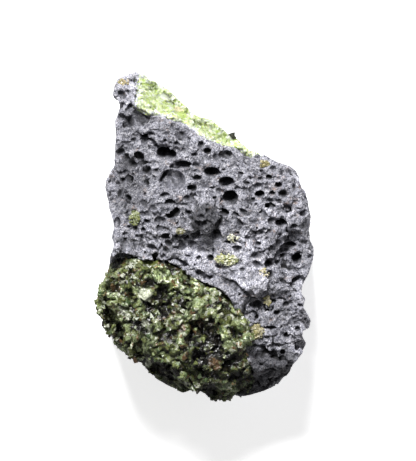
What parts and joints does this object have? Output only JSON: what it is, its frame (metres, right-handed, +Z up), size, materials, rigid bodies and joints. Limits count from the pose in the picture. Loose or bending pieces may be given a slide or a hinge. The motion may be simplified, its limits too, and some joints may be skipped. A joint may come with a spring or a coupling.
{
  "type": "olivine basalt specimen",
  "caption": "Broken hand specimen of grey, pitted basalt with a rounded nodule and a side band of granular green olivine, resting on its flat cleft underside.",
  "frame": {"origin": "under the middle of the specimen, in the plane of its flat cleft underside", "axes": "+Z up, away from the cleft underside and out of the broken front face; +Y along the length, towards the narrow end with the olivine band; +X across, to the right as the front face is looked at"},
  "size_m": [0.0604, 0.0926, 0.0411],
  "materials": {
    "basalt": "dull broken rock with open gas hollows",
    "olivine_dark": "glassy grains, dark olive to pale green",
    "olivine_bright": "glassy grains, pale yellow-green",
    "olivine_crystal": "glassy, yellow-green to tan"
  },
  "bodies": {
    "root": {"basalt_matrix": "basalt", "olivine_nodule": "olivine_dark", "olivine_band": "olivine_bright", "olivine_crystal_1": "olivine_crystal", "olivine_crystal_2": "olivine_crystal", "olivine_crystal_3": "olivine_crystal", "olivine_crystal_4": "olivine_crystal", "olivine_crystal_5": "olivine_crystal", "olivine_crystal_6": "olivine_crystal", "olivine_crystal_7": "olivine_crystal", "olivine_crystal_8": "olivine_crystal", "olivine_crystal_9": "olivine_crystal"}
  },
  "joints": []
}
